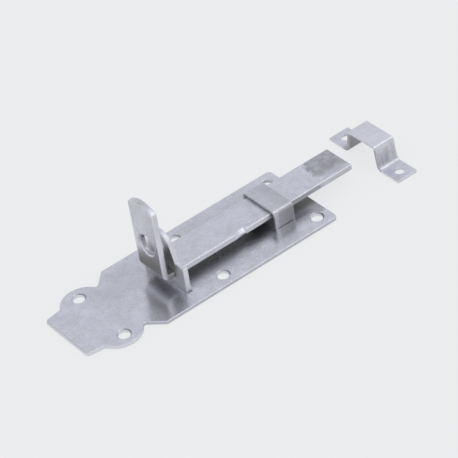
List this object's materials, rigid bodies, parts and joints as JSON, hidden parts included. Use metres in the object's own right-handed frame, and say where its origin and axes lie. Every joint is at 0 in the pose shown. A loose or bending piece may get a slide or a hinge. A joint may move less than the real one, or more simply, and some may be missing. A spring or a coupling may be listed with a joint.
{
  "type": "slide bolt",
  "caption": "Flat slide bolt with an upturned padlock handle, a riveted lug and guide on a shaped screw plate, and a loose strap keeper.",
  "frame": {"origin": "on the plate's back face, in the middle of the rectangle of four screw holes", "axes": "+X the way the bolt is thrown, +Y across the plate, +Z off the plate's back face towards the bolt"},
  "size_m": [0.1617, 0.0449, 0.0419],
  "materials": {
    "base_plate_zinc": "zinc plated, semi-bright",
    "bolt_zinc": "zinc plated, semi-bright",
    "lug_zinc": "zinc plated, semi-bright",
    "guide_zinc": "zinc plated, semi-bright",
    "keeper_zinc": "zinc plated, semi-bright"
  },
  "bodies": {
    "plate": {"base_plate": "base_plate_zinc", "lug": "lug_zinc", "guide": "guide_zinc", "keeper": "keeper_zinc"},
    "bolt": {"bolt": "bolt_zinc"}
  },
  "joints": [
    {"name": "bolt_slide", "type": "slide", "parent": "plate", "child": "bolt", "axis": [1, 0, 0], "range_m": [-0.027, 0.0022]}
  ]
}
